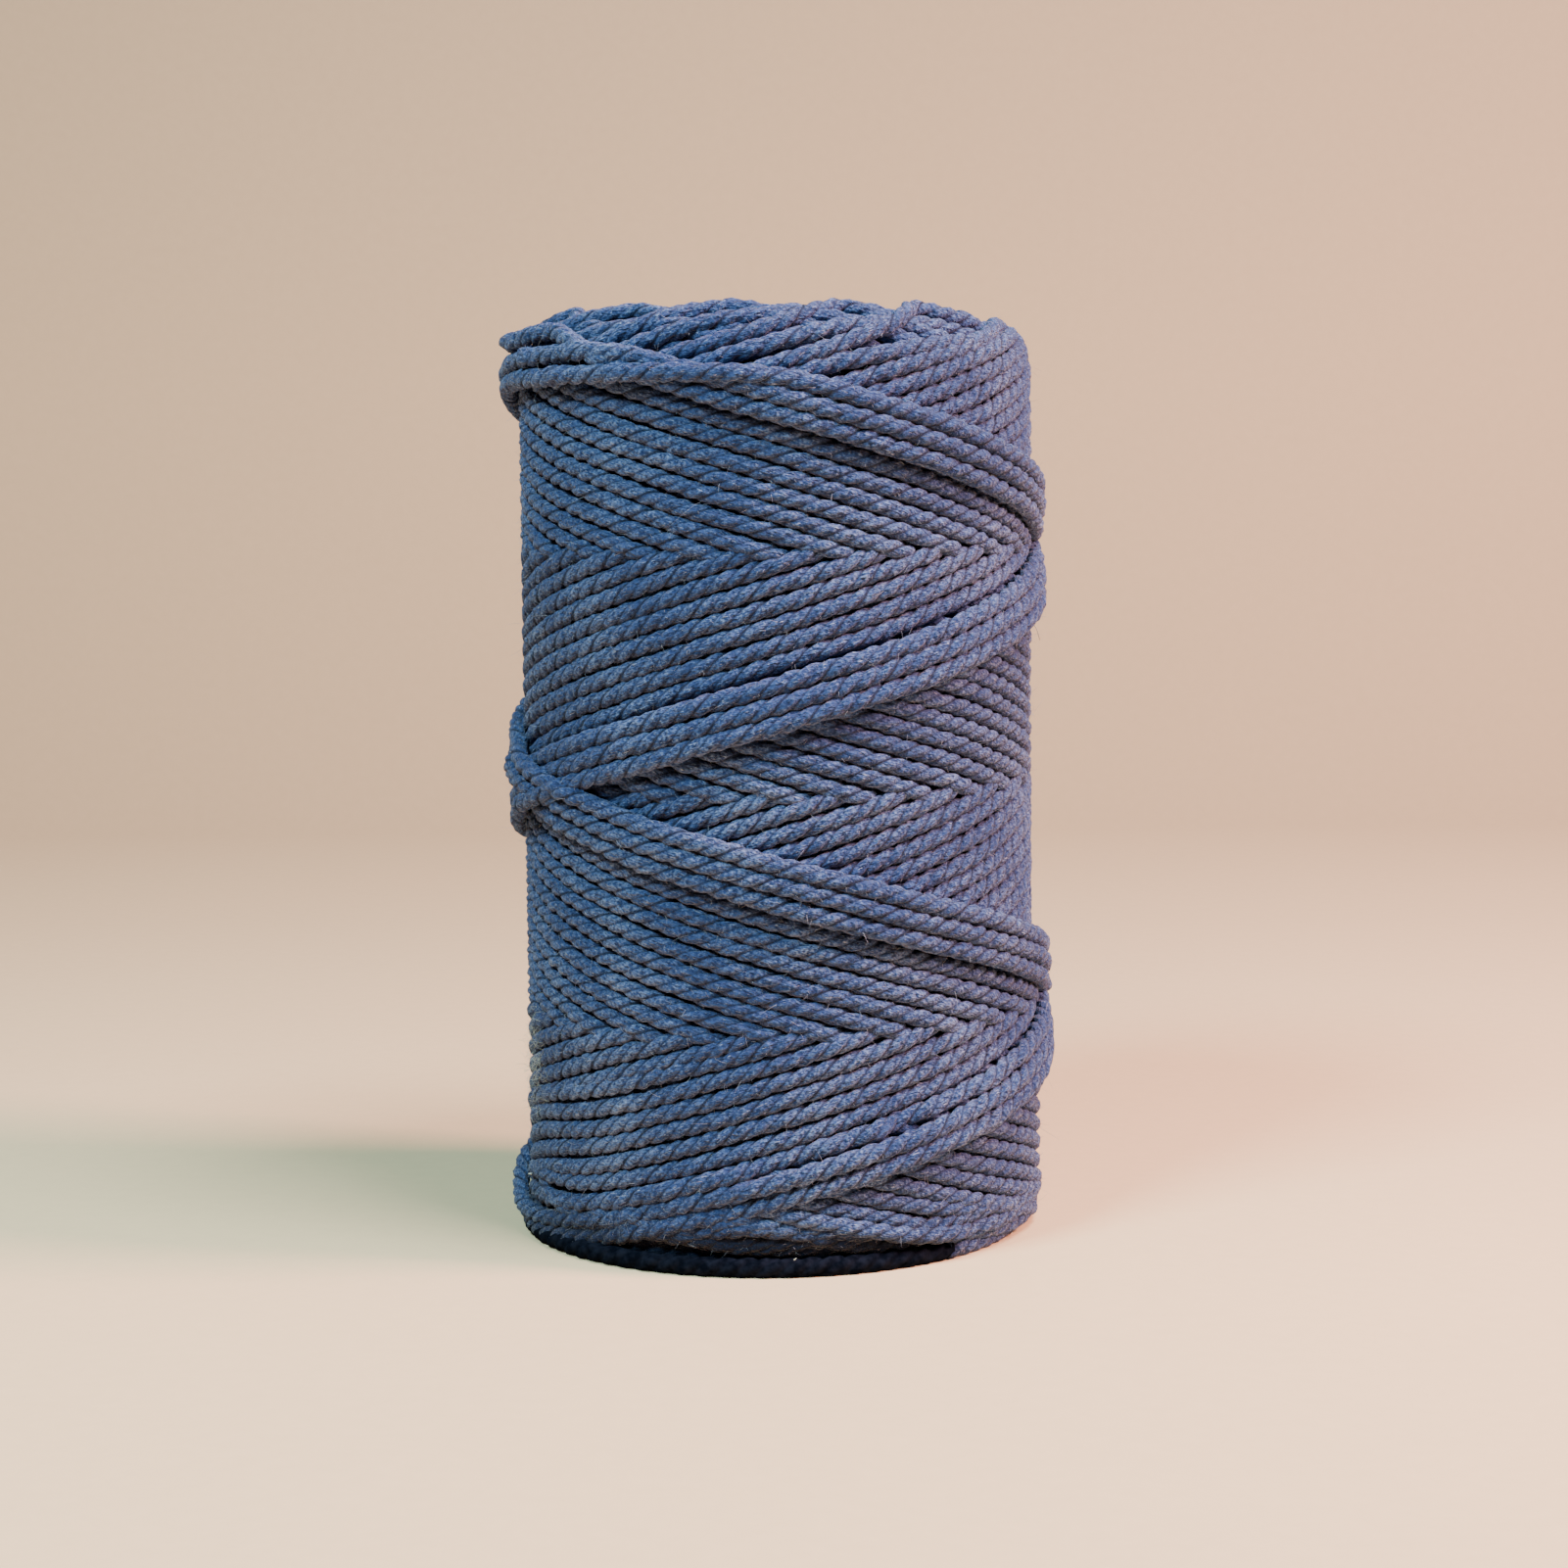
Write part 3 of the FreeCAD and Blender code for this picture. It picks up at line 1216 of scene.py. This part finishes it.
def hand_over(piece: bpy.types.Object, finish: bpy.types.Material) -> None:
    """Give a piece of the cord its finish, its body and its slot, and report it.

    Args:
        piece: The piece.
        finish: Its material.
    """
    piece.data.materials.append(finish)
    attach(piece, ROOT)
    LOG.info("%s: %d faces", piece.name, len(piece.data.polygons))


def new_plane(name: str) -> bpy.types.Object:
    """Add a plane a metre wide, with nothing else selected.

    Args:
        name: Its name.

    Returns:
        The plane.
    """
    bpy.ops.object.select_all(action="DESELECT")
    bpy.ops.mesh.primitive_plane_add(size=1)
    plane = bpy.context.object
    plane.name = plane.data.name = name
    return plane


@dataclass
class FibreMesher:
    """Makes many thin curved fibres as closed tubes."""

    sides: int = 3
    rings: int = 4
    thinning: float = 0.6
    askew: Triple = (0.31, 0.54, 0.78)

    def grow(self, name: str, roots: np.ndarray, ways: np.ndarray, bends: np.ndarray, thickness: np.ndarray
             ) -> bpy.types.Object:
        """Make one piece of fibres.

        Args:
            name: The piece's name.
            roots: Where each fibre starts, in millimetres.
            ways: How far and which way each would go if it were straight.
            bends: How far its tip is off that.
            thickness: Its radius.

        Returns:
            The piece.
        """
        share = np.linspace(0, 1, self.rings)
        along = share[None, :, None]
        centre = roots[:, None, :] + ways[:, None, :] * along + bends[:, None, :] * along ** 2
        heading = unit(ways[:, None, :] + 2 * bends[:, None, :] * along)
        side = unit(np.cross(heading, np.array(self.askew)))
        other = np.cross(heading, side)
        turned = (2 * math.pi * np.arange(self.sides) / self.sides)[:, None]
        spoke = side[:, :, None, :] * np.cos(turned) + other[:, :, None, :] * np.sin(turned)
        taper = thickness[:, None, None, None] * (1 - self.thinning * share ** 2)[None, :, None, None]
        points = (centre[:, :, None, :] + spoke * taper).reshape(-1, 3)
        index = np.arange(len(points)).reshape(len(roots), self.rings, self.sides)
        following = np.roll(index, -1, axis=2)
        quads = np.stack([index[:, :-1], following[:, :-1], following[:, 1:], index[:, 1:]], axis=3)
        ends = np.concatenate([index[:, 0, ::-1], index[:, -1, :]]).reshape(-1)
        size = np.concatenate([np.full(quads.size // 4, 4), np.full(ends.size // self.sides, self.sides)])
        return mesh_piece(name, points, np.concatenate([quads.reshape(-1), ends]), size)


# Sub-assemblies


@dataclass
class CordRoll:
    """The wound cord: the turns that show, the turn-backs of the older layers, and the core of turns."""

    winder: Winder = field(default_factory=Winder)
    shown_cycles: int = 26
    cover: float = 1.3
    margin: int = 5
    end_depth: float = 5.0
    upper_end: float = 156.8
    rings_per_piece: int = 5200
    foot_radius: float = 41.8
    foot_squeeze: float = 2.2
    squeezed_at: float = -45.0
    foot_centre: float = 1.5
    lit_foot: Span = (40.0, 250.0)
    shaded_foot: Span = (-111.0, 42.0)
    # The core ring is painted shade: older turns seen only in the gaps, and at its foot a dark rim on the
    # floor that stands for the shadow under the roll.
    core_outline: tuple[Span, ...] = (
        (20.3, 0.2), (41.6, 0.2), (41.2, 1.2), (39.6, 2.6), (38.6, 4.5), (39.2, 146.0), (37.6, 150.5),
        (34.5, 153.2), (26.0, 153.2), (20.3, 150.5),
    )
    core_steps: int = 90
    core_edge: float = 40.0
    cotton: DyedCotton = field(default_factory=DyedCotton)
    shade: ShadedCotton = field(default_factory=ShadedCotton)

    def build(self) -> None:
        """Wind the cord and make its pieces."""
        self.course = self.winder.wind()
        LOG.info("cord: %.1f m in all", self.course.along[-1] * MM)
        self.mesher = CordMesher(self.course)
        lit = self.cotton.material()
        pieces = [
            (self.mesher.sweep(f"cord_turns_{number}", runs), lit)
            for number, runs in enumerate(self._shares(self._shown_runs()), 1)
        ]
        shaded = self.shade.material()
        pieces += [
            (self._foot_turn("cord_foot_lit", self.lit_foot), lit),
            (self._foot_turn("cord_foot_shaded", self.shaded_foot), shaded),
            (self._core_of_turns(), shaded),
        ]
        for piece, finish in pieces:
            hand_over(piece, finish)
            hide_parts("inner_winding", "outer_winding")

    def _shown_runs(self) -> list[tuple[int, int]]:
        """The stretches of cord that can be seen from outside or from either end.

        Returns:
            First and last sample of each stretch.
        """
        course = self.course
        newest = course.cycles > course.cycles.max() - self.shown_cycles
        shown = np.zeros(len(course.angles), bool)
        shown[newest] = ~course.hidden(newest, self.cover)
        dips = np.array([self.winder.law.dip(radius) for radius in course.radii])
        shown |= course.heights > self.upper_end - dips - self.end_depth
        shown |= course.heights < self.end_depth
        return course.runs(shown, self.margin)

    def _shares(self, runs: Sequence[tuple[int, int]]) -> list[list[tuple[int, int]]]:
        """Share the stretches out among pieces of a fair size.

        Args:
            runs: All stretches.

        Returns:
            The stretches of each piece.
        """
        shares: list[list[tuple[int, int]]] = [[]]
        held = 0.0
        for first, last in runs:
            rings = (self.course.along[last] - self.course.along[first]) / self.mesher.section.spacing
            if held + rings > self.rings_per_piece:
                shares.append([])
                held = 0.0
            shares[-1].append((first, last))
            held += rings
        return shares

    def _foot_turn(self, name: str, span: Span) -> bpy.types.Object:
        """Part of the lowest turn, which lies on the floor and is squeezed out at the front left.

        Args:
            name: The piece's name.
            span: Its first and last angle.

        Returns:
            The piece.
        """
        angles = np.arange(*span)
        radii = self.foot_radius + self.foot_squeeze * np.cos(np.radians(angles - self.squeezed_at))
        heights = np.full(len(angles), self.foot_centre)
        course = Course(angles, heights, radii, np.zeros(len(angles), int), self.course.bed)
        return CordMesher(course).sweep(name, [(0, len(angles) - 1)])

    def _core_of_turns(self) -> bpy.types.Object:
        """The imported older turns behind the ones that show, as one closed ring.

        Returns:
            The piece.
        """
        piece = new_plane("cord_core_turns")
        mesh = bmesh.new()
        corners = [mesh.verts.new((radius * MM, 0, height * MM)) for radius, height in self.core_outline]
        for corner, following in zip(corners, corners[1:] + corners[:1]):
            mesh.edges.new((corner, following))
        mesh.to_mesh(piece.data)
        mesh.free()
        bpy.ops.object.mode_set(mode="EDIT")
        bpy.ops.mesh.select_all(action="SELECT")
        bpy.ops.mesh.spin(steps=self.core_steps, angle=2 * math.pi, center=(0, 0, 0), axis=(0, 0, 1))
        bpy.ops.mesh.select_all(action="SELECT")
        bpy.ops.mesh.remove_doubles(threshold=1e-6)
        bpy.ops.mesh.normals_make_consistent(inside=False)
        bpy.ops.object.mode_set(mode="OBJECT")
        bpy.ops.object.shade_smooth_by_angle(angle=math.radians(self.core_edge))
        return piece


@dataclass(frozen=True)
class Strand:
    """One fibre that stands by itself: its root, how far it goes, its bend and its radius."""

    root: Triple
    way: Triple
    bend: Triple
    radius: float


@dataclass
class Fuzz:
    """The fine fibres that stand off the cord, a tuft of lint, a loose yarn end and two flecks."""

    course: Course
    count: int = 6800
    cycles: int = 25
    cover: float = 0.4
    skin: float = 1.36
    tilt: float = 1.2
    drift: float = 0.8
    drift_up: float = 0.6
    shortest: float = 0.5
    usual: float = 0.45
    longest: float = 4.2
    curl: float = 0.35
    floor_room: float = 5.0
    thickness: float = 0.020
    uneven: Span = (0.7, 1.4)
    lint_count: int = 260
    lint_angle: Span = (-71.0, 3.2)
    lint_height: Span = (30.0, 4.6)
    lint_limits: Span = (18.0, 42.0)
    lint_radius: Span = (43.6, 44.8)
    lint_way: float = 0.9
    lint_lift: float = 0.25
    lint_curl: float = 0.6
    lint_thickness: Span = (0.012, 0.028)
    strands: tuple[Strand, ...] = (
        Strand((-42.6, -13.0, 10.6), (-0.5, -0.3, 0.2), (0.0, 0.0, -0.1), 0.22),
        Strand((1.9, -44.0, 3.0), (0.4, -0.4, 0.2), (0.0, 0.0, 0.2), 0.13),
        Strand((42.6, 0.0, 104.6), (4.2, 0.0, -2.0), (-1.6, 0.0, -2.4), 0.15),
    )
    seed: int = 23
    fibre: LooseFibre = field(default_factory=LooseFibre)
    lint: LooseFibre = LooseFibre("cotton_lint", (0.55, 0.60, 0.52, 1.0))

    def build(self) -> None:
        """Make the fibres."""
        self.random = np.random.default_rng(self.seed)
        for piece, finish in ((self._fuzz(), self.fibre), (self._lint(), self.lint)):
            hand_over(piece, finish.material())
            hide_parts("outer_winding")

    def _fuzz(self) -> bpy.types.Object:
        """Fibres all over the turns that show.

        Returns:
            The piece.
        """
        random, count, course = self.random, self.count, self.course
        newest = np.flatnonzero(course.cycles > course.cycles.max() - self.cycles)
        pick = random.choice(newest[~course.hidden(newest, self.cover)], count)
        turned = np.radians(course.angles[pick] + random.uniform(-0.5, 0.5, count))
        out = around(turned, 1.0, np.zeros(count))
        up = np.array([0.0, 0.0, 1.0])
        sideways = np.cross(up, out)
        tilt = random.uniform(-self.tilt, self.tilt, count)[:, None]
        spoke = out * np.cos(tilt) + up * np.sin(tilt)
        roots = around(turned, course.radii[pick], course.heights[pick]) + spoke * self.skin
        drift = random.normal(0, self.drift, (count, 2))
        way = unit(spoke + sideways * drift[:, :1] + up * drift[:, 1:] * self.drift_up)
        length = np.minimum(self.shortest + random.exponential(self.usual, count), self.longest)[:, None]
        bend = random.normal(0, self.curl, (count, 3)) * length
        low = course.heights[pick] < self.floor_room
        way[low, 2] = np.abs(way[low, 2])
        bend[low, 2] = np.abs(bend[low, 2])
        thickness = self.thickness * random.uniform(*self.uneven, count)
        return FibreMesher().grow("cord_fuzz", roots, way * length, bend, thickness)

    def _lint(self) -> bpy.types.Object:
        """The tuft of lint low on the left, the loose yarn end at the right, and the flecks.

        Returns:
            The piece.
        """
        random, count, strands = self.random, self.lint_count, self.strands
        turned = np.radians(random.normal(*self.lint_angle, count))
        height = np.clip(random.normal(*self.lint_height, count), *self.lint_limits)
        roots = around(turned, random.uniform(*self.lint_radius, count), height)
        out = around(turned, 1.0, np.zeros(count))
        way = random.normal(0, self.lint_way, (count, 3)) + out * self.lint_lift
        bend = random.normal(0, self.lint_curl, (count, 3))
        thickness = random.uniform(*self.lint_thickness, count)
        return FibreMesher().grow(
            "cord_lint",
            np.concatenate([roots, [strand.root for strand in strands]]),
            np.concatenate([way, [strand.way for strand in strands]]),
            np.concatenate([bend, [strand.bend for strand in strands]]),
            np.concatenate([thickness, [strand.radius for strand in strands]]),
        )


@dataclass
class CoreTube:
    """The cardboard tube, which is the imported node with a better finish."""

    cardboard: Cardboard = field(default_factory=Cardboard)

    def dress(self) -> None:
        """Give the tube its finish, and report it."""
        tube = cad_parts["core_tube"]
        tube.data.materials.clear()
        tube.data.materials.append(self.cardboard.material())
        LOG.info("%s: %d faces", tube.name, len(tube.data.polygons))


@dataclass(frozen=True)
class Lamp:
    """A soft square light that faces the roll, in millimetres and watts."""

    name: str
    place: Triple
    size: float
    power: float
    colour: Triple

    def hang(self, aim_height: float) -> None:
        """Add the light to the scene.

        Args:
            aim_height: How high on the roll's axis it points.
        """
        data = bpy.data.lights.new(self.name, "AREA")
        data.size = self.size * MM
        data.energy = self.power
        data.color = self.colour
        light = bpy.data.objects.new(self.name, data)
        light.location = Vector(self.place) * MM
        aim = Vector((0, 0, aim_height * MM)) - light.location
        light.rotation_euler = aim.to_track_quat("-Z", "Y").to_euler()
        bpy.context.scene.collection.objects.link(light)


@dataclass
class Studio:
    """Floor, backdrop, lights and camera."""

    lens: float = 74.2
    sensor: float = 36.0
    distance: float = 555.0
    eye_height: float = 130.2
    pitch: float = 5.6
    roll: float = 0.5
    shift: float = 0.0056
    floor_width: float = 2600.0
    floor_front: float = 900.0
    floor_back: float = 600.0
    wall_height: float = 1300.0
    sweep_radius: float = 260.0
    sweep_steps: int = 24
    aim_height: float = 75.0
    lamps: tuple[Lamp, ...] = (
        Lamp("warm_right", (700.0, -150.0, 600.0), 210.0, 26.0, (1.0, 0.48, 0.43)),
        Lamp("cool_left", (-330.0, -460.0, 680.0), 230.0, 10.0, (0.60, 0.92, 1.0)),
        Lamp("top", (270.0, -290.0, 820.0), 300.0, 11.2, (1.0, 0.94, 0.96)),
    )
    sky: Colour = (0.98, 0.96, 0.94, 1.0)
    sky_strength: float = 0.045
    paper: PaperSweep = field(default_factory=PaperSweep)

    def build(self) -> None:
        """Make the floor and backdrop, the lights and the camera."""
        self._sweep()
        for lamp in self.lamps:
            lamp.hang(self.aim_height)
        world = bpy.data.worlds.new("studio")
        world.use_nodes = True
        sky = world.node_tree.nodes["Background"]
        sky.inputs["Color"].default_value = self.sky
        sky.inputs["Strength"].default_value = self.sky_strength
        bpy.context.scene.world = world
        self._camera()

    def _sweep(self) -> None:
        """Make one sheet of paper that is floor in front and backdrop behind."""
        sheet = new_plane("paper_sweep")
        half = self.floor_width / 2 * MM
        for vertex in sheet.data.vertices:
            vertex.co.x = math.copysign(half, vertex.co.x)
            vertex.co.y = self.floor_back * MM if vertex.co.y > 0 else -self.floor_front * MM
        bpy.ops.object.mode_set(mode="EDIT")
        self._select_edges(sheet, lambda place: place.y > 0)
        bpy.ops.mesh.extrude_edges_move(TRANSFORM_OT_translate={"value": (0, 0, self.wall_height * MM)})
        self._select_edges(sheet, lambda place: place.y > 0 and abs(place.z) < 1e-6)
        bpy.ops.mesh.bevel(offset=self.sweep_radius * MM, segments=self.sweep_steps, affect="EDGES")
        bpy.ops.object.mode_set(mode="OBJECT")
        bpy.ops.object.shade_smooth()
        sheet.data.materials.append(self.paper.material())

    @staticmethod
    def _select_edges(sheet: bpy.types.Object, chosen: Callable[[Vector], bool]) -> None:
        """Select edges of the sheet, in edit mode, and nothing else.

        Args:
            sheet: The sheet.
            chosen: Says whether a vertex is chosen, from its place. An edge needs both of its own.
        """
        bpy.ops.mesh.select_all(action="DESELECT")
        shape = bmesh.from_edit_mesh(sheet.data)
        for edge in shape.edges:
            edge.select_set(all(chosen(vertex.co) for vertex in edge.verts))
        bmesh.update_edit_mesh(sheet.data)

    def _camera(self) -> None:
        """Put the camera where the photograph was taken from."""
        data = bpy.data.cameras.new("view")
        data.lens = self.lens
        data.sensor_width = self.sensor
        data.shift_x = self.shift
        data.clip_start = 0.01
        camera = bpy.data.objects.new("view", data)
        camera.location = Vector((0, -self.distance, self.eye_height)) * MM
        camera.rotation_mode = "XYZ"
        camera.rotation_euler = (math.radians(90 - self.pitch), math.radians(self.roll), 0)
        bpy.context.scene.collection.objects.link(camera)
        bpy.context.scene.camera = camera


def main() -> None:
    """Build every sub-assembly in order and report its pieces."""
    logging.basicConfig(level=logging.INFO, format="%(message)s")
    CoreTube().dress()
    roll = CordRoll()
    roll.build()
    Fuzz(roll.course).build()
    Studio().build()


if __name__ == "__main__":
    main()
